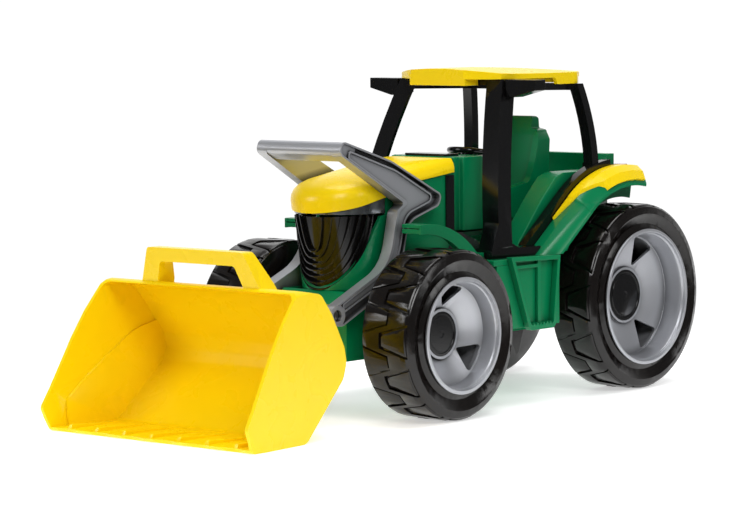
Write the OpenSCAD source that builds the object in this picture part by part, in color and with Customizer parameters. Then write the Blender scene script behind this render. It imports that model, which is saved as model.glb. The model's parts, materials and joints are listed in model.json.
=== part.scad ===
// Toy front loader: a ride-size play tractor with a front bucket.
// Millimetres. X points forward, Y to the vehicle's left, Z up, floor at Z = 0.

/* [Wheels] */
// Front tyre radius
front_tyre_r = 72.5; // [68:0.5:74]
// Rear tyre radius
rear_tyre_r = 84; // [80:0.5:84]
// Front tyre width
front_tyre_w = 54; // [46:1:54]
// Rear tyre width
rear_tyre_w = 48; // [40:1:48]
// Steel axle radius
axle_r = 4; // [3:0.5:5]
// Tread pockets on each half of a tyre
tread_pockets = 12; // [8:1:16]
// Depth of a tread pocket
pocket_depth = 2.8; // [1:0.2:3.2]
// Outer face of the front wheels from the centre plane
front_face_y = 123; // [122:0.5:126]
// Outer face of the rear wheels from the centre plane
rear_face_y = 112; // [111:0.5:116]

/* [Body] */
// Half width of the engine hood
hood_half = 36; // [34:0.5:37]
// Moulded wall thickness
wall = 3; // [2:0.5:4]
// Lean of the nose towards the front, degrees
nose_lean = 9; // [5:0.5:12]

/* [Cab] */
// Height of the roof underside
roof_z = 283; // [278:0.5:288]
// Radius of the steering wheel
steering_r = 20; // [17:0.5:24]

/* [Loader] */
// Thickness of a loader arm
arm_t = 11; // [9:0.5:12]
// Outward splay of each arm, degrees
arm_splay = 3.2; // [2:0.1:4]
// Loader and bucket pin radius
pin_r = 5; // [4:0.5:6]

/* [Bucket] */
// Bucket wall thickness
bucket_t = 3.2; // [2.4:0.2:4]
// Number of teeth gaps in the bucket lip
lip_gaps = 6; // [4:1:8]
// Width of the carrying handle at its foot
handle_w = 134; // [110:2:140]

/* [Hidden] */
$fn = 64;
run = 0.05;
front_x = 49;
rear_x = -226;
front_z = 72.5;
rear_z = 84;
pivot_x = 14;
pivot_z = 184;
tip_x = 133;
tip_z = 92;

// ---- shared shapes ----

// Rounded rectangle with its corner at the origin.
module rounded(w, h, r) {
    translate([r, 0]) square([w - 2 * r, h]);
    translate([0, r]) square([w, h - 2 * r]);
    for (x = [r, w - r]) for (y = [r, h - r]) translate([x, y]) circle(r = r);
}

// Side profile in X and Z, pulled sideways from y0 to y1.
module side(y0, y1) {
    translate([0, y1, 0]) rotate([90, 0, 0]) linear_extrude(height = y1 - y0) children();
}

// Both sides of the vehicle.
module both() {
    children();
    mirror([0, 1, 0]) children();
}

// A shape made along Z, laid along the left axle line, so that Z becomes Y.
module on_axle(x, z, y) {
    translate([x, y, z]) rotate([-90, 0, 0]) children();
}

// Pie slice about the rear axle in the side view.
module rear_slice(a0, a1, r) {
    step = (a1 - a0) / 6;
    polygon(concat([[rear_x, rear_z]],
        [for (i = [0:6]) [rear_x + r * cos(a0 + i * step), rear_z + r * sin(a0 + i * step)]]));
}

// Corner points moved inwards by d. The outline runs anticlockwise.
function unit(v) = v / norm(v);
function turn(v) = [-v[1], v[0]];
function inset(p, d) = [for (i = [0:len(p) - 1])
    let (a = p[(i + len(p) - 1) % len(p)], b = p[i], c = p[(i + 1) % len(p)],
        m = turn(unit(b - a)), n = turn(unit(c - b)))
    b + d * (m + n) / (1 + m * n)];

// Outline with every corner rounded to radius q[i], or q for all corners.
function soft(p, q, n = 5) = [for (i = [0:len(p) - 1])
    let (k = len(p), b = p[i], a = p[(i + k - 1) % k], c = p[(i + 1) % k],
        u = unit(a - b), v = unit(c - b), h = acos(u * v) / 2,
        d = min((is_list(q) ? q[i] : q) / tan(h), 0.45 * min(norm(a - b), norm(c - b))),
        m = b + unit(u + v) * d / cos(h))
    for (j = [0:n]) m + unit((b + u * d - m) * (1 - j / n) + (b + v * d - m) * j / n)
        * d * tan(h)];

// Front view in Y and Z, pulled forwards from x0 to x1.
module front(x0, x1) {
    translate([x0, 0, 0]) rotate([90, 0, 90]) linear_extrude(height = x1 - x0) children();
}

// ---- lower body ----

module chassis() {
    color("#0f9a5c") difference() {
        union() {
            side(-40, 40) polygon([[-30, 50], [-30, 108], [96, 108], [103, 100],
                [105, 88], [105, 50]]);
            translate([-262, -57, 60]) cube([232, 114, 64]);
            for (y = [-1, 1]) translate([-118, y > 0 ? 50 : -94, 68]) cube([88, 44, 56]);
            on_axle(front_x, front_z, -63) cylinder(r = 10, h = 126);
            on_axle(rear_x, rear_z, -59) cylinder(r = 11, h = 118);
        }
        side(-40 + wall, 40 - wall) polygon([[-27, 49], [-27, 109], [93, 109], [100, 99],
            [102, 87], [102, 49]]);
        translate([-262 + wall, -57 + wall, 59]) cube([226, 114 - 2 * wall, 66]);
        for (y = [-1, 1]) translate([-118 + wall, y > 0 ? 60 : -91, 71]) cube([82, 31, 60]);
        on_axle(front_x, front_z, -70) cylinder(r = axle_r, h = 140);
        on_axle(rear_x, rear_z, -70) cylinder(r = axle_r, h = 140);
    }
    color("#0f9a5c") for (x = [front_x, rear_x]) difference() {
        translate([x - 13, x > 0 ? -37.5 : -54.5, x > 0 ? 54 : 64])
            cube([26, x > 0 ? 75 : 109, x > 0 ? 36 : 40]);
        translate([x - 8, x > 0 ? -32 : -48, x > 0 ? 56 : 66])
            cube([16, x > 0 ? 64 : 96, x > 0 ? 40 : 44]);
        translate([x, -70, x > 0 ? front_z : rear_z]) rotate([-90, 0, 0])
            cylinder(r = axle_r, h = 140);
    }
}

// Two plates that close the underside.
module base_plates() {
    color("#0b6f43") difference() {
        union() {
            translate([-26.5, -36.5, 50.5]) cube([128, 73, 3]);
            translate([-258.5, -53.5, 60.5]) cube([225.5, 107, 3]);
            for (x = [-18, 88]) for (y = [-29, 29]) translate([x, y, 50.5]) cylinder(r = 5, h = 9);
            for (x = [-250, -45]) for (y = [-46, 46])
                translate([x, y, 60.5]) cylinder(r = 5, h = 9);
        }
        for (x = [-18, 88]) for (y = [-29, 29]) translate([x, y, 50]) cylinder(r = 1.6, h = 20);
        for (x = [-250, -45]) for (y = [-46, 46]) translate([x, y, 60]) cylinder(r = 1.6, h = 20);
    }
}

// Screws that close the underside.
module body_screws() {
    color("#c8c8c8") {
        for (x = [-18, 88]) for (y = [-29, 29]) translate([x, y, 48.7]) {
            cylinder(r = 3.4, h = 1.8);
            cylinder(r = 1.6, h = 10.5);
        }
        for (x = [-250, -45]) for (y = [-46, 46]) translate([x, y, 58.7]) {
            cylinder(r = 3.4, h = 1.8);
            cylinder(r = 1.6, h = 10.5);
        }
    }
}

module deck() {
    color("#12a262") {
        translate([-262, -57, 124]) cube([236, 114, 5]);
        for (y = [-94, 50]) translate([-118, y, 124]) cube([92, 44, 5]);
        difference() {
            translate([-44, -36, 129]) cube([18, 72, 4]);
            translate([-38, -30, 128.9]) cube([6, 60, 5]);
        }
    }
}

// Tow bracket with a vertical pin hole.
module tow_hitch() {
    color("#1c1c1e") difference() {
        union() {
            translate([-266, -26, 62]) cube([4, 52, 34]);
            translate([-284, -14, 66]) cube([20, 28, 6]);
            translate([-284, 0, 66]) cylinder(r = 14, h = 6);
            for (y = [-14, 11]) side(y, y + 3) polygon([[-264, 72], [-264, 92], [-284, 72]]);
        }
        translate([-284, 0, 60]) cylinder(r = 5, h = 40);
    }
}

// ---- mudguards, steps and fenders ----

guard_arc = [45, 68];
guard_r = 96;

// Ring about the guard's own centre, kept above the deck and behind its front end.
module guard_ring(outer) {
    intersection() {
        difference() {
            translate(guard_arc) circle(r = outer);
            children();
        }
        translate([-60, 129.1]) square([112, 80]);
    }
}

module mudguard() {
    color("#12a262") {
        side(57, 78) guard_ring(guard_r) translate(guard_arc) circle(r = guard_r - 3);
        side(75.8, 78) guard_ring(guard_r - 1) translate([front_x, front_z]) circle(r = 83);
        side(57, 78) polygon([[46, 160], [52, 160], [52, 156], [48, 156]]);
        translate([-32.5, 57, 129.1]) cube([6, 21, 5.9]);
    }
}

module mudguard_left() {
    mudguard();
}

module mudguard_right() {
    mirror([0, 1, 0]) mudguard();
}

step_outer = [[-43, 131], [-112.5, 129], [-105.5, 68.5], [-102.5, 65.5], [-71, 65.5],
    [-67.5, 68.5]];
step_inner = [[-49, 127], [-108.4, 125.2], [-102.2, 71], [-100.8, 69.5], [-72.6, 69.5],
    [-70.5, 71]];

module foot_step() {
    color("#1fae6e") {
        side(94.3, 100) difference() {
            polygon(step_outer);
            polygon(step_inner);
        }
        for (i = [0:5]) side(94.3, 100)
            translate([-100 + 4.6 * i, 69.4]) polygon([[0, 0], [3.6, 0], [1.8, 2.6]]);
        side(94.3, 97) polygon([[-88.5, 126.2], [-83.6, 126.4], [-83.6, 69.4], [-88.5, 69.4]]);
        side(94.3, 97) polygon([[-84, 120], [-84, 123], [-53, 123], [-54.5, 120]]);
    }
}

module step_left() {
    foot_step();
}

module step_right() {
    mirror([0, 1, 0]) foot_step();
}

// Fender section: radius from the rear axle against Y.
module fender_section() {
    polygon([[113.4, 76.5], [113.4, 83.4], [109.4, 88.8], [100, 93.4], [100, 96], [102.5, 96],
        [111.8, 91.6], [116, 85.5], [116, 76.5]]);
}

module fender() {
    color("#12a262") difference() {
        union() {
            translate([rear_x, 0, rear_z]) rotate([-90, 0, 0]) rotate([0, 0, -101])
                rotate_extrude(angle = 50, $fn = 96) fender_section();
            translate([rear_x, 0, rear_z]) rotate([0, -52.5, 0]) translate([-0.3, 0, -80])
                linear_extrude(height = 80) fender_section();
            side(76.5, 79) difference() {
                rear_slice(20, 101, 114);
                translate([rear_x, rear_z]) circle(r = 89);
            }
        }
        translate([-160, 60, 60]) cube([90, 40, 69.1]);
    }
}

module fender_left() {
    fender();
}

module fender_right() {
    mirror([0, 1, 0]) fender();
}

module fender_cap() {
    color("#f8c90f") intersection() {
        union() {
            translate([rear_x, 0, rear_z]) rotate([-90, 0, 0]) rotate([0, 0, -99])
                rotate_extrude(angle = 48, $fn = 96) cap_section();
            translate([rear_x, 0, rear_z]) rotate([0, -52.5, 0]) translate([-0.3, 0, -30])
                linear_extrude(height = 30) cap_section();
        }
        translate([0, 0, 100]) linear_extrude(height = 140) polygon([[-130, 76.8], [-186, 93.6],
            [-192, 99], [-260, 99], [-260, 60], [-130, 60]]);
    }
}

module cap_section() {
    polygon([[116, 77], [116, 85.5], [111.8, 91.6], [104.8, 95], [106, 97], [113.6, 93.2],
        [118.6, 86.4], [118.6, 77]]);
}

module fender_cap_left() {
    fender_cap();
}

module fender_cap_right() {
    mirror([0, 1, 0]) fender_cap();
}

module tail_light() {
    color("#b3201c") translate([-243, 66.6, 194.5]) difference() {
        cube([24, 9.9, 8]);
        translate([8, -1, 6]) cube([10, 13, 4]);
    }
}

module tail_light_left() {
    tail_light();
}

module tail_light_right() {
    mirror([0, 1, 0]) tail_light();
}

// ---- hood ----

// Upright nose with flat sides, leaning forwards.
module nose(half) {
    translate([66.5, 0, 140]) rotate([0, nose_lean, 0]) linear_extrude(height = 240, center = true) {
        circle(r = half, $fn = 96);
        translate([-220, -half]) square([220, 2 * half]);
    }
}

module nose_shell(t) {
    difference() {
        nose(hood_half);
        nose(hood_half - t);
    }
}

module hood_sides() {
    color("#12a262") difference() {
        union() {
            intersection() {
                nose_shell(wall);
                side(-60, 60) polygon([[-25.7, 108.2], [-25.7, 133.2], [-42, 133.2],
                    [-42, 202.7], [3, 197.5], [48.5, 185.5],
                    [48.5, 171], [55, 170], [63, 159.4],
                    [86, 125.3], [95, 112], [96, 108.2]]);
            }
            for (y = [-36, 29.5]) side(y, y + 6.5) translate([pivot_x, pivot_z]) circle(r = 9.5);
            translate([-42, -36, 133.2]) cube([3, 72, 66]);
        }
        side(-60, 60) translate([pivot_x, pivot_z]) circle(r = pin_r + run);
    }
}

// Half section of the cover: distance from the middle against height.
cover_section = [[0, 28], [37.5, 28], [37.5, 49], [36.5, 53], [34, 57], [30, 60], [24, 62.5],
    [16, 64.5], [8, 66], [0, 66]];

module cover_form() {
    translate([66.5, 0, 140]) rotate([0, nose_lean, 0]) {
        rotate([0, 0, -90]) rotate_extrude(angle = 180) polygon(cover_section);
        translate([-130, 0, 0]) rotate([90, 0, 90]) linear_extrude(height = 130) {
            polygon(cover_section);
            mirror([1, 0]) polygon(cover_section);
        }
    }
}

module hood_cover() {
    color("#f8c90f") difference() {
        intersection() {
            cover_form();
            side(-60, 60) polygon([[-42, 203], [3, 198], [49, 186], [65, 182.8], [80, 179.8],
                [118, 172.4], [118, 240], [73, 208], [50, 211.6], [30, 213], [-13, 214.6],
                [-42, 215.2]]);
        }
        intersection() {
            nose(hood_half - 2);
            side(-60, 60) polygon([[-50, 180], [-50, 205], [0, 203], [40, 198], [80, 191],
                [108, 184], [112, 160]]);
        }
        intersection() {
            nose(26);
            side(-26, 26) polygon([[-50, 180], [-50, 211], [0, 210], [36, 208], [66, 203],
                [88, 196], [98, 186], [100, 170]]);
        }
    }
}

// Side view of the nose in front of rib i, which sweeps down to the middle.
module grille_zone(i) {
    t = 55.6 + 8.2 * i;
    b = 109 + 5.4 * i;
    polygon([[t - 6.7, 174], [t - 6.7, 171.2], [t, 170.4], [t + (99 - t) * 0.2, 170.4 - (170.4 - b)
        * 0.17], [t + (99 - t) * 0.72, b + (170.4 - b) * 0.27], [t + (99 - t) * 0.92, b
        + (170.4 - b) * 0.06], [101, b], [125, b], [125, 174]]);
}

module grille() {
    color("#141416") intersection() {
        side(-60, 60) polygon([[40, 171.8], [120, 172.6], [120, 100], [40, 100]]);
        union() {
            intersection() {
                difference() {
                    nose(hood_half - 3.2);
                    nose(hood_half - 5.6);
                }
                side(-60, 60) grille_zone(0);
            }
            for (i = [0:6]) intersection() {
                difference() {
                    nose(hood_half + 0.2);
                    nose(hood_half - 3.6);
                }
                side(-60, 60) difference() {
                    grille_zone(i);
                    translate([2.6, 1.6]) grille_zone(i);
                }
            }
        }
    }
}

module headlight() {
    color("#cfd3d6") intersection() {
        difference() {
            nose(hood_half - 0.4);
            nose(hood_half - 6);
        }
        side(4, 60) polygon([[49, 185.6], [49, 172.1], [62, 172.2], [112, 173.2], [112, 173.3],
            [80, 179.5], [65, 182.5]]);
    }
}

module headlight_left() {
    headlight();
}

module headlight_right() {
    mirror([0, 1, 0]) headlight();
}

module hood_strips() {
    color("#141416") both() translate([-42, 36, 151]) cube([11, 1.6, 49.8]);
}

// ---- cab ----

module console() {
    color("#12a262") difference() {
        union() {
            translate([-51, -36, 151]) cube([8.5, 72, 65]);
            translate([-86, -41, 151]) linear_extrude(height = 65) {
                rounded(35.5, 82, 12);
                translate([20, 0]) square([15.5, 82]);
            }
        }
        translate([-82.5, -37.5, 150]) linear_extrude(height = 62.5) {
            rounded(28.5, 75, 9);
            translate([15, 0]) square([13.5, 75]);
        }
    }
}

module dash_cowl() {
    color("#141416") translate([-66, -24, 216]) linear_extrude(height = 2.2) rounded(20, 48, 3);
}

module steering_column() {
    color("#141416") intersection() {
        translate([-108, 0, 216]) rotate([0, -8, 0]) translate([0, 0, -90])
            cylinder(r = 4, h = 89);
        translate([-130, -10, 133.2]) cube([60, 20, 100]);
    }
}

module steering_wheel() {
    color("#141416") translate([-108, 0, 216]) rotate([0, -8, 0]) difference() {
        union() {
            translate([0, 0, 1.4]) rotate_extrude() translate([steering_r - 2.6, 0])
                circle(r = 2.6, $fn = 24);
            translate([0, 0, -6]) cylinder(r = 7, h = 9);
            for (a = [90, 210, 330]) rotate([0, 0, a]) translate([0, -2.2, -0.6])
                cube([steering_r - 3, 4.4, 2.6]);
        }
        translate([0, 0, -7]) cylinder(r = 4 + run, h = 7);
    }
}

box_outer = [[-90, 129.2], [-96, 140], [-128, 175], [-148, 194], [-160, 198], [-232, 198],
    [-232, 129.2]];
box_inner = [[-98, 128], [-98, 138], [-130, 172.5], [-149.4, 191], [-161, 195], [-223, 195],
    [-223, 128]];

module cab_tub() {
    color("#12a262") {
        difference() {
            union() {
                translate([-236, -59, 129.2]) cube([150, 118, 4]);
                for (y = [-66.5, 46]) side(y, y + 20.5) polygon(box_outer);
                side(-66.5, 66.5) polygon([[-222, 129.2], [-226, 212], [-236, 212],
                    [-236, 129.2]]);
            }
            both() side(49, 56) polygon(box_inner);
            both() side(55, 63.5) difference() {
                polygon(box_inner);
                translate([rear_x, rear_z]) circle(r = 91);
            }
            both() side(59, 70) translate([rear_x, rear_z]) circle(r = 88);
            side(-63, 63) polygon([[-225, 176], [-228.5, 209], [-233, 209], [-233, 176]]);
        }
        translate([-178, -26, 133]) linear_extrude(height = 24) rounded(48, 52, 4);
    }
}

module seat() {
    color("#12a262") intersection() {
        union() {
            side(-24, 24) polygon(soft([[-178, 157.2], [-187, 182], [-192, 246.5], [-183, 247],
                [-177, 230], [-173, 188], [-168, 181], [-131, 179], [-126, 174],
                [-126, 157.2]], [1, 4, 3, 3, 8, 10, 6, 4, 4, 1]));
            both() side(21, 28) polygon(soft([[-178, 157.2], [-187, 182], [-191, 236],
                [-176, 234], [-168, 206], [-160, 188], [-132, 184], [-126, 178],
                [-126, 157.2]], [1, 4, 4, 8, 10, 10, 5, 4, 1]));
        }
        front(-200, -120) polygon(soft([[-28, 150], [-28, 226], [-23, 234.5], [-15, 236],
            [-13.6, 247], [13.6, 247], [15, 236], [23, 234.5], [28, 226], [28, 150]],
            [1, 4, 3, 2, 4, 4, 2, 3, 4, 1]));
    }
}

// Upright strip in a 2D view from p to q, bowed sideways by s in the middle, w wide.
module bowed(p, q, s, w) {
    mid = [for (i = [0:8]) let (t = i / 8) p * (1 - t) + q * t + [4 * s * t * (1 - t), 0]];
    polygon(concat([for (m = mid) m - [w / 2, 0]], [for (i = [0:8]) mid[8 - i] + [w / 2, 0]]));
}

// Pillar from a low to a high point, a long and b across, bowed forwards by s.
module pillar(low, high, a, b, s) {
    intersection() {
        side(0, 120) bowed([low[0], low[2]], [high[0], high[2]], s, a);
        front(-240, 20) bowed([low[1], low[2]], [high[1], high[2]], 1.5, b);
    }
}

module cab_frame() {
    color("#141416") {
        difference() {
            intersection() {
                side(-84, 84) polygon([[-34, 129.3], [-34, 137], [-42.6, 150.6], [-84, 150.6],
                    [-84, 129.3]]);
                front(-90, -30) polygon([[-84, 129], [-84, 137], [-44, 151], [44, 151],
                    [84, 137], [84, 129]]);
            }
            side(-81, 81) polygon([[-37, 129], [-37, 136.2], [-44.4, 147.8], [-90, 147.8],
                [-90, 129]]);
            translate([-42.6, -36.8, 120]) cube([20, 73.6, 60]);
        }
        both() {
            pillar([-46.5, 76.5, 138], [-85.5, 49.5, 282.5], 4, 17, 6);
            pillar([-53.5, 84, 138], [-92.5, 57, 282.5], 18, 3.4, 6);
            pillar([-197, 70, 198.3], [-185, 61.5, 276.9], 9, 10, -3);
            side(70, 85.5) polygon([[-34, 137], [-62, 137], [-62, 146], [-58, 160], [-44, 160]]);
            side(56, 60) polygon([[-94, 273], [-94, 279.5], [-186, 277.5], [-186, 271]]);
            side(68, 76) difference() {
                rear_slice(52, 86, 124);
                translate([rear_x, rear_z]) circle(r = 116.6);
            }
            side(68, 76) polygon([[-154.5, 176], [-149.5, 181.5], [-93, 137.5], [-98, 131.5],
                [-98, 129.3], [-99.5, 132]]);
            side(75.5, 85.5) polygon([[-34, 129.3], [-34, 135], [-38, 141], [-64, 141],
                [-72, 136.8], [-103, 136.8], [-94, 129.3]]);
            translate([-212, 62, 198.3]) cube([18, 12, 7]);
            translate([-97, 55, 270]) cube([12, 7, 12]);
        }
        translate([-92, -58, 276.5]) cube([8, 116, 6.4]);
        translate([-188, -60, 271]) cube([8, 120, 6]);
    }
}

roof_plan = [[-64, 30], [-64, -30], [-72, -43], [-83, -57], [-96, -61], [-140, -64], [-184, -64],
    [-195, -58], [-201, -44], [-203, 0], [-201, 44], [-195, 58], [-184, 64], [-140, 64],
    [-96, 61], [-83, 57], [-72, 43]];

module roof() {
    color("#f8c90f") difference() {
        union() {
            intersection() {
                translate([0, 0, roof_z]) linear_extrude(height = 14) polygon(roof_plan);
                translate([-92, 0, -627]) rotate([90, 0, 0])
                    cylinder(r = 920, h = 200, center = true, $fn = 256);
                translate([-130, 0, -106]) rotate([0, 90, 0])
                    cylinder(r = 398.5, h = 300, center = true, $fn = 200);
            }
            translate([-83, -31.5, 277.5]) cube([19, 63, 6.5]);
            for (y = [-1, 1]) intersection() {
                translate([0, 0, 277]) linear_extrude(height = 8) polygon(roof_plan);
                side(-80, 80) polygon([[-150, 290], [-155, 277], [-220, 277], [-220, 290]]);
            }
        }
        translate([-79.5, -28, 270]) cube([12, 56, 15]);
        translate([-200, -60.3, 270]) cube([48, 120.6, 13]);
    }
}

module lamp_left() {
    lamp_block();
}

module lamp_right() {
    mirror([0, 1, 0]) lamp_block();
}

module lamp_block() {
    color("#141416") translate([-98, 62, 0]) difference() {
        translate([0, 0, 267.5]) cube([15, 33, 15.4]);
        translate([-1, 6, 267]) rotate([14, 0, 0]) translate([0, 0, -20]) cube([17, 50, 20]);
    }
}

// ---- wheels ----

// Wedge that stands on the tread: wide at the shoulder, narrow past the middle.
module tread_wedge(r, w, pitch, d) {
    translate([r - 8, 0, 0]) rotate([0, 90, 0]) rotate([0, 0, 90]) linear_extrude(height = 12)
        polygon([[-pitch * 0.38 + d, 3 + d * 0.2], [pitch * 0.38 - d, 3 + d * 0.2],
            [pitch * 0.17 - d * 0.8, w * 0.58 - d], [-pitch * 0.17 + d * 0.8, w * 0.58 - d]]);
}

module tread_ring(r, w, depth, d) {
    intersection() {
        translate([0, 0, -1]) difference() {
            cylinder(r = r + 2, h = w + 2, $fn = 128);
            translate([0, 0, -1]) cylinder(r = r - depth, h = w + 4, $fn = 128);
        }
        for (i = [0:tread_pockets - 1]) rotate([0, 0, 360 / tread_pockets * i]) {
            translate([0, 0, w]) mirror([0, 0, 1])
                tread_wedge(r, w, 2 * PI * r / tread_pockets, d);
            rotate([0, 0, 180 / tread_pockets])
                tread_wedge(r, w, 2 * PI * r / tread_pockets, d);
        }
    }
}

// Hollow tyre along Z, outer side at the top, with a plate that closes its inner side.
module tyre(r, w, seat_r) {
    color("#161618") difference() {
        rotate_extrude($fn = 128) polygon([[13, 0.6], [seat_r + 3, 0], [r - 12, 0],
            [r - 3, 2.2], [r - 0.8, 4.6], [r, 9], [r, w - 9], [r - 0.8, w - 4.6],
            [r - 3, w - 2.2], [r - 9, w], [r - 11, w - 1.2], [seat_r + 7, w - 4],
            [seat_r + 2, w - 1], [seat_r, w - 1], [seat_r, w - 7], [r - 9, w - 7],
            [r - 6, w - 10], [r - 6, 8], [r - 9, 3], [13, 2.6]]);
        difference() {
            tread_ring(r, w, pocket_depth, 0);
            tread_ring(r, w, pocket_depth + 1, 2.2);
        }
        tread_ring(r, w, 0.7, 2.1);
    }
}

module tyre_front() {
    on_axle(front_x, front_z, front_face_y - 2 - front_tyre_w)
        tyre(front_tyre_r, front_tyre_w, 47);
}

module tyre_rear() {
    on_axle(rear_x, rear_z, rear_face_y - 2 - rear_tyre_w) tyre(rear_tyre_r, rear_tyre_w, 59);
}

module tyre_front_left() {
    tyre_front();
}

module tyre_front_right() {
    mirror([0, 1, 0]) tyre_front();
}

module tyre_rear_left() {
    tyre_rear();
}

module tyre_rear_right() {
    mirror([0, 1, 0]) tyre_rear();
}

// Rim along Z: seat radius, lip height, hub face height, disc height at the barrel, cap radius.
module rim(seat, lip, hub, disc, cap, inner, a0) {
    color("#b4b7ba") difference() {
        rotate_extrude($fn = 128) polygon([[axle_r + run, inner], [12, inner], [12, hub - 9],
            [cap + 2, hub - 5.5], [seat - 2.6, disc - 3], [seat - 2.6, 3], [seat, 3], [seat, lip - 3],
            [seat + 2.4, lip - 2.2], [seat + 2.4, lip - 0.6], [seat + 1.6, lip],
            [seat - 0.6, lip], [seat - 1.4, lip - 2.6], [seat - 2.4, lip - 3.4],
            [seat - 3.2, lip - 7], [seat - 4.4, disc], [cap + 2.4, hub - 2.4],
            [cap + 2.4, hub], [cap, hub], [cap, hub - 3], [10.5, hub - 3], [10.5, hub - 7.5],
            [axle_r + run, hub - 7.5]]);
        for (i = [0:2]) rotate([0, 0, a0 + 120 * i]) translate([0, 0, hub - 12])
            linear_extrude(height = 40) polygon(soft([[cap + 4.5, 0], [seat - 7.4, -14.4],
                [seat - 5, 0], [seat - 7.4, 14.4]], [2, 2, 40, 2]));
    }
}

module rim_front() {
    on_axle(front_x, front_z, front_face_y - 56) rim(47, 56, 30.5, 40.5, 19, -3.2, -95);
}

module rim_rear() {
    on_axle(rear_x, rear_z, rear_face_y - 50) rim(59, 50, 24, 29, 23, -2.4, -115);
}

module rim_front_left() {
    rim_front();
}

module rim_front_right() {
    mirror([0, 1, 0]) rim_front();
}

module rim_rear_left() {
    rim_rear();
}

module rim_rear_right() {
    mirror([0, 1, 0]) rim_rear();
}

module hub_cap(cap, hub) {
    color("#161618") difference() {
        translate([0, 0, hub - 3]) cylinder(r = cap, h = 3.2);
        translate([0, 0, hub - 0.6]) cylinder(r = 3, h = 2);
        translate([0, 0, hub - 0.5]) difference() {
            cylinder(r = cap - 2.5, h = 2);
            translate([0, 0, -1]) cylinder(r = cap - 4, h = 4);
        }
    }
}

module cap_front_left() {
    on_axle(front_x, front_z, front_face_y - 56) hub_cap(19, 30.5);
}

module cap_front_right() {
    mirror([0, 1, 0]) cap_front_left();
}

module cap_rear_left() {
    on_axle(rear_x, rear_z, rear_face_y - 50) hub_cap(23, 24);
}

module cap_rear_right() {
    mirror([0, 1, 0]) cap_rear_left();
}

module front_axle() {
    color("#c8c8c8") on_axle(front_x, front_z, -(front_face_y - 56 + 26))
        cylinder(r = axle_r, h = 2 * (front_face_y - 56 + 26));
}

module rear_axle() {
    color("#c8c8c8") on_axle(rear_x, rear_z, -(rear_face_y - 50 + 19.5))
        cylinder(r = axle_r, h = 2 * (rear_face_y - 50 + 19.5));
}

// Push-on clips that keep the wheels on the axle ends.
module axle_clips() {
    color("#9a9a9a") both() {
        on_axle(front_x, front_z, front_face_y - 56 + 23.5) difference() {
            cylinder(r = 8, h = 1.6);
            translate([0, 0, -1]) cylinder(r = axle_r, h = 4);
        }
        on_axle(rear_x, rear_z, rear_face_y - 50 + 17) difference() {
            cylinder(r = 8, h = 1.6);
            translate([0, 0, -1]) cylinder(r = axle_r, h = 4);
        }
    }
}

// ---- loader ----

arm_edge = [[116.5, 237], [54, 217.5], [-10.5, 185.5], [-5, 176], [36, 164.5], [51.5, 115],
    [127, 82.5], [143, 84], [142, 96.5], [64, 129], [50, 175], [40, 180.5], [121, 226]];
arm_round = [6, 90, 8, 8, 20, 60, 12, 9, 9, 40, 8, 2, 6];
arm_panel = [[108, 228.5], [50, 210], [3, 186], [6, 180], [39, 170.5], [55.5, 121.5],
    [125, 93.5], [126, 101], [63, 128], [48.5, 174.5], [37.5, 181], [110, 222]];
panel_round = [2, 80, 5, 5, 18, 50, 1.5, 1.5, 42, 8, 2, 2];

module loader_arm() {
    difference() {
        union() {
            translate([0, 50, pivot_z]) rotate([arm_splay, 0, 0]) translate([0, -50, -pivot_z])
                difference() {
                    side(50 - arm_t, 50) polygon(soft(arm_edge, arm_round));
                    side(44.5, 51) difference() {
                        polygon(soft(inset(arm_edge, 1.6), arm_round));
                        polygon(soft(arm_panel, panel_round));
                        translate([tip_x, tip_z]) circle(r = 9.4);
                    }
                    side(48.6, 51) polygon(soft(inset(arm_panel, 1.4), panel_round));
                }
            side(36.5, 46) translate([pivot_x, pivot_z]) circle(r = 9.5);
            side(44.2, 55) translate([tip_x, tip_z]) circle(r = 8.6);
        }
        side(30, 45) translate([pivot_x, pivot_z]) circle(r = pin_r);
        side(30, 70) translate([tip_x, tip_z]) circle(r = pin_r);
    }
}

module loader_frame() {
    color("#b4b7ba") {
        both() loader_arm();
        side(-46, 46) polygon(soft([[98, 231], [116.5, 236.8], [120.6, 226], [104, 217]],
            [3, 6, 5, 4]));
    }
}

module loader_pins() {
    color("#9a9a9a") both() {
        side(28.6, 44.8) translate([pivot_x, pivot_z]) circle(r = pin_r);
        side(26.6, 29.1) translate([pivot_x, pivot_z]) circle(r = 8);
    }
}

module bucket_pins() {
    color("#9a9a9a") both() {
        side(33.8, 51.5) translate([tip_x, tip_z]) circle(r = pin_r);
        side(32, 34.5) translate([tip_x, tip_z]) circle(r = 7.5);
    }
}

// ---- bucket ----

bucket_side = soft([[241, 124], [263, 97.5], [278, 75], [289.5, 55], [300.5, 36], [310.64, 20],
    [302, 0], [233, 0], [182, 47.5], [177.5, 60], [180, 73], [197, 101.5], [212, 119]],
    [7, 40, 40, 40, 40, 5, 5, 12, 14, 14, 20, 30, 12]);
bucket_room = soft([[330, 120.8], [241, 120.8], [213.4, 115.9], [200, 99.9], [183, 72.4],
    [180.8, 60.6], [184.8, 49.6], [234, bucket_t], [330, bucket_t]],
    [1, 20, 11, 27, 17, 11, 11, 9, 1]);

module bucket_plan(d) {
    polygon([[150, 101 - d], [330, 119.4 - d], [330, -119.4 + d], [150, -101 + d]]);
}

module bucket_face(d) {
    polygon(soft([[-114 + d, -4], [-119 + d, 20], [-112 + d, 124.2 - d], [112 - d, 124.2 - d],
        [119 - d, 20], [114 - d, -4]], [1, 14, 13 - d, 13 - d, 14, 1]));
}

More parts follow.
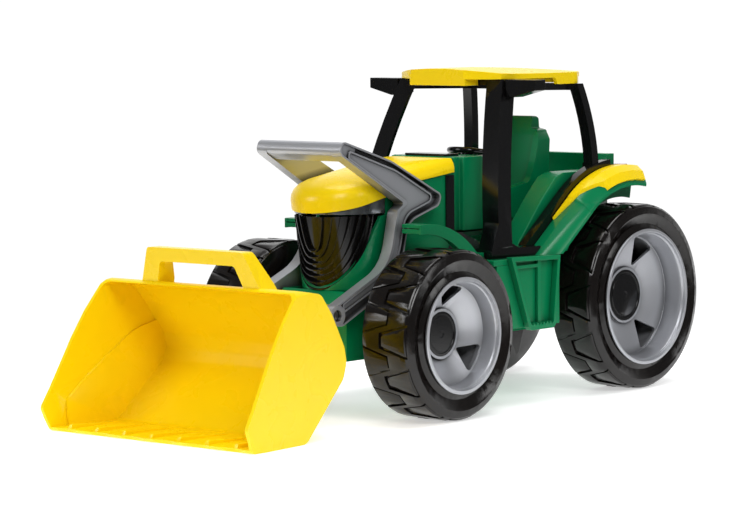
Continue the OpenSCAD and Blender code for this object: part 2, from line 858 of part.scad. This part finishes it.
module bucket_handle() {
    intersection() {
        side(-80, 80) polygon([[219, 117.5], [240, 122.6], [246.8, 152.4], [234.6, 152.4],
            [221.4, 126]]);
        front(190, 270) difference() {
            polygon(soft([[-handle_w / 2 - 2, 117], [-handle_w / 2 + 13, 152.2],
                [handle_w / 2 - 13, 152.2], [handle_w / 2 + 2, 117]], [1, 4, 4, 1]));
            polygon(soft([[-handle_w / 2 + 14, 110], [-handle_w / 2 + 25, 140.5],
                [handle_w / 2 - 25, 140.5], [handle_w / 2 - 14, 110]], [1, 4, 4, 1]));
        }
    }
}

module bucket() {
    color("#f8c90f") {
        difference() {
            union() {
                intersection() {
                    side(-125, 125) polygon(bucket_side);
                    translate([0, 0, -5]) linear_extrude(height = 135) bucket_plan(0);
                    front(150, 330) bucket_face(0);
                }
                bucket_handle();
            }
            intersection() {
                side(-125, 125) polygon(bucket_room);
                translate([0, 0, -5]) linear_extrude(height = 135) bucket_plan(bucket_t);
                front(150, 340) bucket_face(bucket_t);
            }
            for (i = [0:lip_gaps - 1]) translate([329, -94 + 188 / (lip_gaps - 1) * i, -1])
                cylinder(r = 28.5, h = 6);
        }
        both() intersection() {
            side(80, 125) polygon(soft([[184, 86], [215, 78], [238, 62], [265, 43], [288, 24],
                [285, 2], [234, 2], [182, 48], [179, 60], [180, 74]],
                [4, 60, 60, 60, 9, 1, 8, 10, 10, 10]));
            linear_extrude(height = 100) difference() {
                bucket_plan(bucket_t - 0.4);
                bucket_plan(bucket_t + 2.4);
            }
        }
        for (i = [0:lip_gaps]) translate([0, -94 + 188 / lip_gaps * i, 0])
            side(-1.8, 1.8) polygon([[236, 3], [300, 3], [298, 6.4]]);
        both() side(35, 43) difference() {
            union() {
                polygon([[133, 101], [195, 98.6], [180.6, 72.6], [178.6, 57], [183.4, 47.2],
                    [130, 83.5]]);
                translate([tip_x, tip_z]) circle(r = 9);
            }
            translate([tip_x, tip_z]) circle(r = pin_r + run);
        }
    }
}

// ---- choose what to draw ----

chassis();
base_plates();
deck();
mudguard_left();
mudguard_right();
step_left();
step_right();
fender_left();
fender_right();
fender_cap_left();
fender_cap_right();
tail_light_left();
tail_light_right();
hood_sides();
hood_cover();
grille();
headlight_left();
headlight_right();
hood_strips();
console();
dash_cowl();
steering_column();
steering_wheel();
cab_tub();
seat();
cab_frame();
roof();
lamp_left();
lamp_right();
tow_hitch();
front_axle();
rear_axle();
axle_clips();
tyre_front_left();
tyre_front_right();
tyre_rear_left();
tyre_rear_right();
rim_front_left();
rim_front_right();
rim_rear_left();
rim_rear_right();
cap_front_left();
cap_front_right();
cap_rear_left();
cap_rear_right();
loader_frame();
loader_pins();
bucket();
bucket_pins();
body_screws();
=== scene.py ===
import bpy, bmesh, math, json
from mathutils import Vector, Matrix


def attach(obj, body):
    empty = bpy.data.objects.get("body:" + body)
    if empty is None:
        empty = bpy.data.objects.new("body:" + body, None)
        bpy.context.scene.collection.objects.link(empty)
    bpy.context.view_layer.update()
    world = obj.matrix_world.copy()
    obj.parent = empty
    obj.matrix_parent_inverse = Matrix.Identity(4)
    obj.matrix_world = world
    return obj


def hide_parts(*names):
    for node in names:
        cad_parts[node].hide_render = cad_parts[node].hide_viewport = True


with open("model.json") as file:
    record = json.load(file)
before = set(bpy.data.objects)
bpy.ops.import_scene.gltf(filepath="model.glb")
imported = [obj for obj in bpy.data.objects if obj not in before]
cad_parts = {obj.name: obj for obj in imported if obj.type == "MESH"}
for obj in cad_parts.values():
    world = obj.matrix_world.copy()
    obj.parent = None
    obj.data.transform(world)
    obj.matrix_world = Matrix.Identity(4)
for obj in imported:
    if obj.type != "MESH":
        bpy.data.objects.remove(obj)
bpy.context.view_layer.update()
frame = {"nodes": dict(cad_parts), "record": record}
print("frame loaded,", len(frame["nodes"]), "nodes")


def addGroup(name, inputs, outputs):
    group = bpy.data.node_groups.new(name, "ShaderNodeTree")
    for label, kind, value in inputs:
        socket = group.interface.new_socket(name=label, in_out="INPUT", socket_type=kind)
        socket.default_value = value
    for label, kind in outputs:
        group.interface.new_socket(name=label, in_out="OUTPUT", socket_type=kind)
    return group, group.nodes.new("NodeGroupInput"), group.nodes.new("NodeGroupOutput")


def mathNode(tree, operation, a, b):
    node = tree.nodes.new("ShaderNodeMath")
    node.operation = operation
    for i, value in enumerate((a, b)):
        if isinstance(value, (int, float)):
            node.inputs[i].default_value = value
        else:
            tree.links.new(value, node.inputs[i])
    return node.outputs[0]


def noiseNode(tree, coord, detail):
    node = tree.nodes.new("ShaderNodeTexNoise")
    node.inputs["Detail"].default_value = detail
    tree.links.new(coord.outputs["Object"], node.inputs["Vector"])
    return node


# the shade keys set the painted shade laid into grooves and inner corners
skinLook = {"flowAndSheenDetail": 3, "swell": 1.5, "grainDetail": 2, "smudgeScale": 38,
            "smudgeDetail": 5, "smudgeDistortion": 0.6, "shadeReach": 0.009,
            "shadeSamples": 8, "shadePower": 0.8, "paintedShadeColour": (0.004, 0.003, 0.002, 1)}


def makeMouldedSkin():
    # slow flow patches of a second colour (on the tyres a painted reflection), painted shade
    # in grooves, faint handling smudges and a fine moulding texture
    g, gin, gout = addGroup("mouldedSkin", [
        ("Colour", "NodeSocketColor", (0.8, 0.8, 0.8, 1)),
        ("Deep Colour", "NodeSocketColor", (0.5, 0.5, 0.5, 1)),
        ("Flow And Sheen Scale", "NodeSocketFloat", 14.0),
        ("Flow And Sheen Amount", "NodeSocketFloat", 0.5),
        ("Roughness", "NodeSocketFloat", 0.3),
        ("Smudge", "NodeSocketFloat", 0.1),
        ("Painted Shade", "NodeSocketFloat", 0.6),
        ("Grain Scale", "NodeSocketFloat", 1600.0)],
        [("Colour", "NodeSocketColor"), ("Roughness", "NodeSocketFloat"),
         ("Height", "NodeSocketFloat")])
    coord = g.nodes.new("ShaderNodeTexCoord")
    # slow patches of the second colour: a moulding flow tone, and on the tyres a painted
    # reflection of the yellow bucket
    flowAndSheen = noiseNode(g, coord, skinLook["flowAndSheenDetail"])
    g.links.new(gin.outputs["Flow And Sheen Scale"], flowAndSheen.inputs["Scale"])
    mix = g.nodes.new("ShaderNodeMix")
    mix.data_type = "RGBA"
    g.links.new(mathNode(g, "MULTIPLY", flowAndSheen.outputs["Fac"], gin.outputs["Flow And Sheen Amount"]),
                mix.inputs["Factor"])
    g.links.new(gin.outputs["Colour"], mix.inputs["A"])
    g.links.new(gin.outputs["Deep Colour"], mix.inputs["B"])
    # painted shade: grooves and inner corners are painted darker, towards a near-black, as
    # light is lost in them
    shadeProbe = g.nodes.new("ShaderNodeAmbientOcclusion")
    shadeProbe.inputs["Distance"].default_value = skinLook["shadeReach"]
    shadeProbe.samples = skinLook["shadeSamples"]
    shadeDepth = mathNode(g, "POWER", mathNode(g, "SUBTRACT", 1.0, shadeProbe.outputs["AO"]),
                     skinLook["shadePower"])
    paintedShade = g.nodes.new("ShaderNodeMix")
    paintedShade.data_type = "RGBA"
    paintedShade.inputs["B"].default_value = skinLook["paintedShadeColour"]
    g.links.new(mathNode(g, "MULTIPLY", shadeDepth, gin.outputs["Painted Shade"]), paintedShade.inputs["Factor"])
    g.links.new(mix.outputs["Result"], paintedShade.inputs["A"])
    g.links.new(paintedShade.outputs["Result"], gout.inputs["Colour"])
    smudge = noiseNode(g, coord, skinLook["smudgeDetail"])
    smudge.inputs["Scale"].default_value = skinLook["smudgeScale"]
    smudge.inputs["Distortion"].default_value = skinLook["smudgeDistortion"]
    centred = mathNode(g, "SUBTRACT", smudge.outputs["Fac"], 0.5)
    spread = mathNode(g, "MULTIPLY", centred, gin.outputs["Smudge"])
    g.links.new(mathNode(g, "ADD", gin.outputs["Roughness"], spread), gout.inputs["Roughness"])
    grain = noiseNode(g, coord, skinLook["grainDetail"])
    g.links.new(gin.outputs["Grain Scale"], grain.inputs["Scale"])
    swell = mathNode(g, "MULTIPLY", flowAndSheen.outputs["Fac"], skinLook["swell"])
    g.links.new(mathNode(g, "ADD", grain.outputs["Fac"], swell), gout.inputs["Height"])
    return g


mouldedSkin = makeMouldedSkin()

# one entry for each material slot of the part
finishes = {
    # paintedShade: yellow has no painted shade in its grooves, silver the most, the rest the
    # default
    "yellow_plastic": dict(colour=(0.98, 0.70, 0.002), deep=(0.97, 0.63, 0.001), rough=0.28,
                           bump=0.02, sss=0.04, flowAndSheen=0.12, flowAndSheenScale=5, specular=0.3,
                           paintedShade=0.0),
    "green_plastic": dict(colour=(0.0, 0.215, 0.078), deep=(0.0, 0.165, 0.058), rough=0.25,
                          bump=0.03, sss=0.02, specular=0.36),
    "black_plastic": dict(colour=(0.004, 0.004, 0.0045), deep=(0.002, 0.002, 0.0025),
                          rough=0.13, bump=0.025, specular=0.42),
    "silver_plastic": dict(colour=(0.47, 0.48, 0.51), deep=(0.38, 0.39, 0.42), rough=0.33,
                           bump=0.03, metal=0.6, grain=2600, paintedShade=1.3),
    # the tyres' warm brown second colour is a painted reflection of the yellow bucket, laid in
    # slow patches
    "tyre_plastic": dict(colour=(0.0035, 0.0033, 0.0033), deep=(0.010, 0.005, 0.003),
                         rough=0.15, bump=0.07, specular=0.42),
    "steel": dict(colour=(0.5, 0.5, 0.51), deep=(0.4, 0.4, 0.41), rough=0.3, bump=0.03,
                  metal=1),
    "lamp_clear": dict(colour=(0.30, 0.33, 0.34), deep=(0.03, 0.035, 0.04), rough=0.07,
                       bump=0.03, coat=0.8, metal=0.45, flowAndSheen=1.4, flowAndSheenScale=60),
    "lamp_red": dict(colour=(0.33, 0.012, 0.012), deep=(0.18, 0.004, 0.004), rough=0.15,
                     bump=0.03, coat=0.5)}
surfaceLook = {"bumpDistance": 0.001, "coatRoughness": 0.06,
               "subsurfaceRadius": (0.006, 0.004, 0.002)}


# paintedShade sets how strongly grooves and inner corners are darkened with painted shade
def makeFinish(name, colour, deep, rough, bump, metal=0, coat=0, sss=0, grain=1600,
               specular=0.5, flowAndSheen=0.5, flowAndSheenScale=14, paintedShade=0.5):
    material = bpy.data.materials.new(name)
    material.use_nodes = True
    tree = material.node_tree
    shader = tree.nodes["Principled BSDF"]
    skin = tree.nodes.new("ShaderNodeGroup")
    skin.node_tree = mouldedSkin
    skin.inputs["Colour"].default_value = (*colour, 1)
    skin.inputs["Deep Colour"].default_value = (*deep, 1)
    skin.inputs["Roughness"].default_value = rough
    skin.inputs["Grain Scale"].default_value = grain
    skin.inputs["Flow And Sheen Amount"].default_value = flowAndSheen
    skin.inputs["Flow And Sheen Scale"].default_value = flowAndSheenScale
    skin.inputs["Painted Shade"].default_value = paintedShade
    raised = tree.nodes.new("ShaderNodeBump")
    raised.inputs["Strength"].default_value = bump
    raised.inputs["Distance"].default_value = surfaceLook["bumpDistance"]
    tree.links.new(skin.outputs["Height"], raised.inputs["Height"])
    tree.links.new(skin.outputs["Colour"], shader.inputs["Base Color"])
    tree.links.new(skin.outputs["Roughness"], shader.inputs["Roughness"])
    tree.links.new(raised.outputs["Normal"], shader.inputs["Normal"])
    shader.inputs["Specular IOR Level"].default_value = specular
    shader.inputs["Metallic"].default_value = metal
    shader.inputs["Coat Weight"].default_value = coat
    shader.inputs["Coat Roughness"].default_value = surfaceLook["coatRoughness"]
    shader.inputs["Subsurface Weight"].default_value = sss
    shader.inputs["Subsurface Radius"].default_value = surfaceLook["subsurfaceRadius"]
    return material


finish = {name: makeFinish(name, **values) for name, values in finishes.items()}
print("materials made:", len(finish))

slotOf = {s["node"]: s["material_slot"] for s in frame["record"]["subparts"]}
bodyOf = {n: b for b, members in frame["record"]["behaviour"]["bodies"].items()
          for n in members}

# how wide each piece's edges are rounded, in metres
edgeEase = {"default": 0.0006, "roof": 0.0018, "bucket": 0.0014, "hood_cover": 0.0022,
            "loader_frame": 0.0009, "cab_frame": 0.0010, "console": 0.0014, "seat": 0.0022,
            "cab_tub": 0.0012, "fender_left": 0.0007, "fender_right": 0.0007,
            "tyre_front_left": 0.0007, "tyre_front_right": 0.0007, "tyre_rear_left": 0.0007,
            "tyre_rear_right": 0.0007, "grille": 0.00025}
easing = {"sharpAngle": 32, "segments": 2, "mergeDistance": 0.00001, "flatAngle": 1.5}


def finishPiece(bm, name, nodes, body, slotName, bevel):
    mesh = bpy.data.meshes.new(name)
    bm.to_mesh(mesh)
    bm.free()
    piece = bpy.data.objects.new(name, mesh)
    bpy.context.scene.collection.objects.link(piece)
    mesh.materials.append(finish[slotName])
    mesh.shade_smooth()
    mesh.set_sharp_from_angle(angle=math.radians(easing["sharpAngle"]))
    ease = piece.modifiers.new("ease", "BEVEL")
    ease.width = bevel
    ease.segments = easing["segments"]
    ease.limit_method = "ANGLE"
    ease.angle_limit = math.radians(easing["sharpAngle"])
    ease.harden_normals = True
    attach(piece, body)
    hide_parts(*nodes)
    return piece


def addCadShape(bm, node):
    # a copy of the CAD mesh, merged and freed of its flat cuts
    bm.from_mesh(frame["nodes"][node].data)
    bmesh.ops.remove_doubles(bm, verts=bm.verts, dist=easing["mergeDistance"])
    bmesh.ops.dissolve_limit(bm, angle_limit=math.radians(easing["flatAngle"]),
                             verts=bm.verts, edges=bm.edges)


def easedCopy(node):
    bm = bmesh.new()
    addCadShape(bm, node)
    return finishPiece(bm, node + "_piece", [node], bodyOf[node], slotOf[node],
                       edgeEase.get(node, edgeEase["default"]))


def between(pair, share):
    return pair[0] * (1 - share) + pair[1] * share


def spanPlace(pair, place):
    # from one end of the pair to the other, as place goes from -1 to 1
    return pair[0] + (pair[1] - pair[0]) * (place + 1) / 2


def bentSlab(bm, columns, rows, place):
    # a flat closed slab from -1 to 1, put in place point by point
    made = bmesh.ops.create_grid(bm, x_segments=columns, y_segments=rows, size=1)["verts"]
    faces = list({face for vert in made for face in vert.link_faces})
    raised = bmesh.ops.extrude_face_region(bm, geom=faces, use_keep_orig=True)["geom"]
    lifted = [part for part in raised if isinstance(part, bmesh.types.BMVert)]
    for vert in lifted:
        vert.co.z = 1
    for vert in made + lifted:
        vert.co = place(*vert.co)


# the nose is a half round that leans forwards about its foot
nose = {"centre": 0.0665, "foot": 0.140, "lean": math.radians(9.0), "dip": 0.25}
grilleShape = {"top": 0.1722, "ribs": 7, "wide": (104.0, 20.0), "low": (0.1100, 0.1425),
               "curve": (2.0, 3.0), "ribWide": 0.0015, "ribOut": 0.0361, "ribIn": 0.0318,
               "ribColumns": 64, "ribStep": 0.01, "plateOut": 0.0324, "plateIn": 0.0304,
               "plateColumns": 48, "plateRows": 6, "plateBelow": 0.001, "plateLeast": 0.004}


def nosePoint(angle, height, radius):
    lean = nose["lean"]
    forward = radius * math.cos(angle)
    rise = (height - nose["foot"]) / math.cos(lean)
    return Vector((nose["centre"] + forward * math.cos(lean) + rise * math.sin(lean),
                   radius * math.sin(angle), height - forward * math.sin(lean) * nose["dip"]))


def makeGrille():
    # a bent plate with nested U ribs standing on it
    shape = grilleShape

    def ribHeight(along, share):
        low = between(shape["low"], share)
        return low + (shape["top"] - low) * abs(along) ** between(shape["curve"], share)

    def plate(across, up, out):
        low = min(ribHeight(across, 0) - shape["plateBelow"],
                  shape["top"] - shape["plateLeast"])
        return nosePoint(math.radians(shape["wide"][0]) * across,
                         low + (shape["top"] - low) * (up + 1) / 2,
                         shape["plateOut"] if out else shape["plateIn"])

    bm = bmesh.new()
    bentSlab(bm, shape["plateColumns"], shape["plateRows"], plate)
    for i in range(shape["ribs"]):
        share = i / (shape["ribs"] - 1)
        wide = math.radians(between(shape["wide"], share))

        def rib(along, side, out):
            run = wide * shape["ribOut"] * shape["ribStep"]
            climb = (ribHeight(abs(along), share)
                     - ribHeight(abs(along) - shape["ribStep"], share))
            slope = math.atan2(math.copysign(climb, along) if along else 0.0, run)
            shift = side * shape["ribWide"] / 2
            height = ribHeight(along, share) + shift * math.cos(slope)
            return nosePoint(wide * along - shift * math.sin(slope) / shape["ribOut"],
                             min(height, shape["top"]),
                             shape["ribOut"] if out else shape["ribIn"])

        bentSlab(bm, shape["ribColumns"], 1, rib)
    bmesh.ops.recalc_face_normals(bm, faces=bm.faces)
    return finishPiece(bm, "grille_piece", ["grille"], "body", slotOf["grille"],
                       edgeEase["grille"])


coverLining = {"along": (-0.056, -0.001), "across": (0.0195, 0.0315), "under": 0.00025,
               "thick": 0.0012, "columns": 2, "rows": 12,
               "crown": [(0.016, 0.0645), (0.024, 0.0625), (0.030, 0.060), (0.034, 0.057)]}


def makeHoodCover():
    # the CAD cover has two open slits about 1 mm wide beside its crown; a strip under each
    # closes it to the eye only, and the CAD solid keeps the slits
    shape = coverLining

    def crown(out):
        points = shape["crown"]
        for (fromOut, fromHigh), (toOut, toHigh) in zip(points, points[1:]):
            if out <= toOut:
                return fromHigh + (toHigh - fromHigh) * (out - fromOut) / (toOut - fromOut)
        return points[-1][1]

    bm = bmesh.new()
    for side in (-1, 1):
        def strip(along, across, deep):
            x = spanPlace(shape["along"], along)
            out = spanPlace(shape["across"], across)
            z = crown(out) - shape["under"] - shape["thick"] * deep
            return Vector((
                nose["centre"] + x * math.cos(nose["lean"]) + z * math.sin(nose["lean"]),
                side * out,
                nose["foot"] - x * math.sin(nose["lean"]) + z * math.cos(nose["lean"])))

        bentSlab(bm, shape["columns"], shape["rows"], strip)
    bmesh.ops.recalc_face_normals(bm, faces=bm.faces)
    addCadShape(bm, "hood_cover")
    return finishPiece(bm, "hood_cover_piece", ["hood_cover"], "body", slotOf["hood_cover"],
                       edgeEase["hood_cover"])


makeGrille()
makeHoodCover()
handMade = {"grille", "hood_cover"}
print("pieces made apart:", len(handMade))
for node in sorted(frame["nodes"]):
    if node not in handMade:
        easedCopy(node)
print("eased pieces:", len(frame["nodes"]) - len(handMade))

floorLook = {"fadeStart": 0.42, "fadeEnd": 0.85, "margin": 0.1, "sides": 96, "glow": 0.5,
             "colour": (0.93, 0.93, 0.93, 1), "roughness": 0.5, "specular": 0.25}


def addFloor():
    # a white sheet that fades out with distance, so that no horizon shows
    bm = bmesh.new()
    bmesh.ops.create_circle(bm, cap_ends=True, segments=floorLook["sides"],
                            radius=floorLook["fadeEnd"] + floorLook["margin"])
    mesh = bpy.data.meshes.new("floor")
    bm.to_mesh(mesh)
    bm.free()
    floor = bpy.data.objects.new("floor", mesh)
    bpy.context.scene.collection.objects.link(floor)
    material = bpy.data.materials.new("paleFloor")
    material.use_nodes = True
    tree = material.node_tree
    shader = tree.nodes["Principled BSDF"]
    shader.inputs["Base Color"].default_value = floorLook["colour"]
    shader.inputs["Roughness"].default_value = floorLook["roughness"]
    shader.inputs["Specular IOR Level"].default_value = floorLook["specular"]
    shader.inputs["Emission Color"].default_value = (1, 1, 1, 1)
    shader.inputs["Emission Strength"].default_value = floorLook["glow"]
    coord = tree.nodes.new("ShaderNodeTexCoord")
    length = tree.nodes.new("ShaderNodeVectorMath")
    length.operation = "LENGTH"
    tree.links.new(coord.outputs["Object"], length.inputs[0])
    fade = tree.nodes.new("ShaderNodeMapRange")
    fade.interpolation_type = "SMOOTHSTEP"
    fade.inputs["From Min"].default_value = floorLook["fadeStart"]
    fade.inputs["From Max"].default_value = floorLook["fadeEnd"]
    fade.inputs["To Min"].default_value = 1
    fade.inputs["To Max"].default_value = 0
    tree.links.new(length.outputs["Value"], fade.inputs["Value"])
    tree.links.new(fade.outputs["Result"], shader.inputs["Alpha"])
    mesh.materials.append(material)


lights = {
    "key": dict(place=(1.1, 1.5, 1.5), size=0.9, power=20),
    "left": dict(place=(2.0, -0.9, 0.9), size=0.8, power=14),
    "strip": dict(place=(-0.7, 1.7, 0.9), size=0.5, power=3),
    "top": dict(place=(-0.1, 0.1, 2.1), size=1.5, power=30)}
lightAim = (0, 0, 0.12)


def addLights():
    for name, light in lights.items():
        data = bpy.data.lights.new(name, "AREA")
        data.size = light["size"]
        data.energy = light["power"]
        lamp = bpy.data.objects.new(name, data)
        bpy.context.scene.collection.objects.link(lamp)
        lamp.location = light["place"]
        aim = Vector(lightAim) - lamp.location
        lamp.rotation_euler = aim.to_track_quat("-Z", "Y").to_euler()


studio = {"bright": 1.04, "dim": 0.14, "far": -0.85, "near": -0.2}


def addStudio(back):
    # a white wall behind the object, and a dimmer room on the viewer's side
    world = bpy.data.worlds.new("studio")
    bpy.context.scene.world = world
    world.use_nodes = True
    tree = world.node_tree
    coord = tree.nodes.new("ShaderNodeTexCoord")
    seen = tree.nodes.new("ShaderNodeLightPath")
    facing = tree.nodes.new("ShaderNodeVectorMath")
    facing.operation = "DOT_PRODUCT"
    facing.inputs[1].default_value = back
    tree.links.new(coord.outputs["Generated"], facing.inputs[0])
    level = tree.nodes.new("ShaderNodeMapRange")
    level.interpolation_type = "SMOOTHSTEP"
    level.inputs["From Min"].default_value = studio["far"]
    level.inputs["From Max"].default_value = studio["near"]
    level.inputs["To Min"].default_value = studio["bright"]
    level.inputs["To Max"].default_value = studio["dim"]
    tree.links.new(facing.outputs["Value"], level.inputs["Value"])
    tree.nodes["Background"].inputs["Color"].default_value = (1, 1, 1, 1)
    strength = tree.nodes.new("ShaderNodeMix")
    strength.inputs["B"].default_value = studio["bright"]
    tree.links.new(seen.outputs["Is Camera Ray"], strength.inputs["Factor"])
    tree.links.new(level.outputs["Result"], strength.inputs["A"])
    tree.links.new(strength.outputs["Result"], tree.nodes["Background"].inputs["Strength"])
    bpy.context.scene.view_settings.view_transform = "Standard"


cameraSetup = {"turn": 131.0, "height": 4.735, "roll": -0.46, "distance": 2.801,
               "target": (0.0281, 0, 0.12895), "lens": 157.3, "sensor": 36}


def addCamera():
    turn, rise = math.radians(cameraSetup["turn"]), math.radians(cameraSetup["height"])
    back = Vector((math.sin(turn) * math.cos(rise), -math.cos(turn) * math.cos(rise),
                   math.sin(rise)))
    right = (-back).cross(Vector((0, 0, 1))).normalized()
    up = right.cross(-back)
    roll = math.radians(cameraSetup["roll"])
    across = right * math.cos(roll) + up * math.sin(roll)
    upright = up * math.cos(roll) - right * math.sin(roll)
    data = bpy.data.cameras.new("camera")
    data.lens = cameraSetup["lens"]
    data.sensor_width = cameraSetup["sensor"]
    camera = bpy.data.objects.new("camera", data)
    bpy.context.scene.collection.objects.link(camera)
    place = Vector(cameraSetup["target"]) + back * cameraSetup["distance"]
    turned = Matrix((across, upright, back)).transposed().to_4x4()
    camera.matrix_world = Matrix.Translation(place) @ turned
    bpy.context.scene.camera = camera
    return back


addFloor()
addLights()
addStudio(addCamera())
print("stage set")
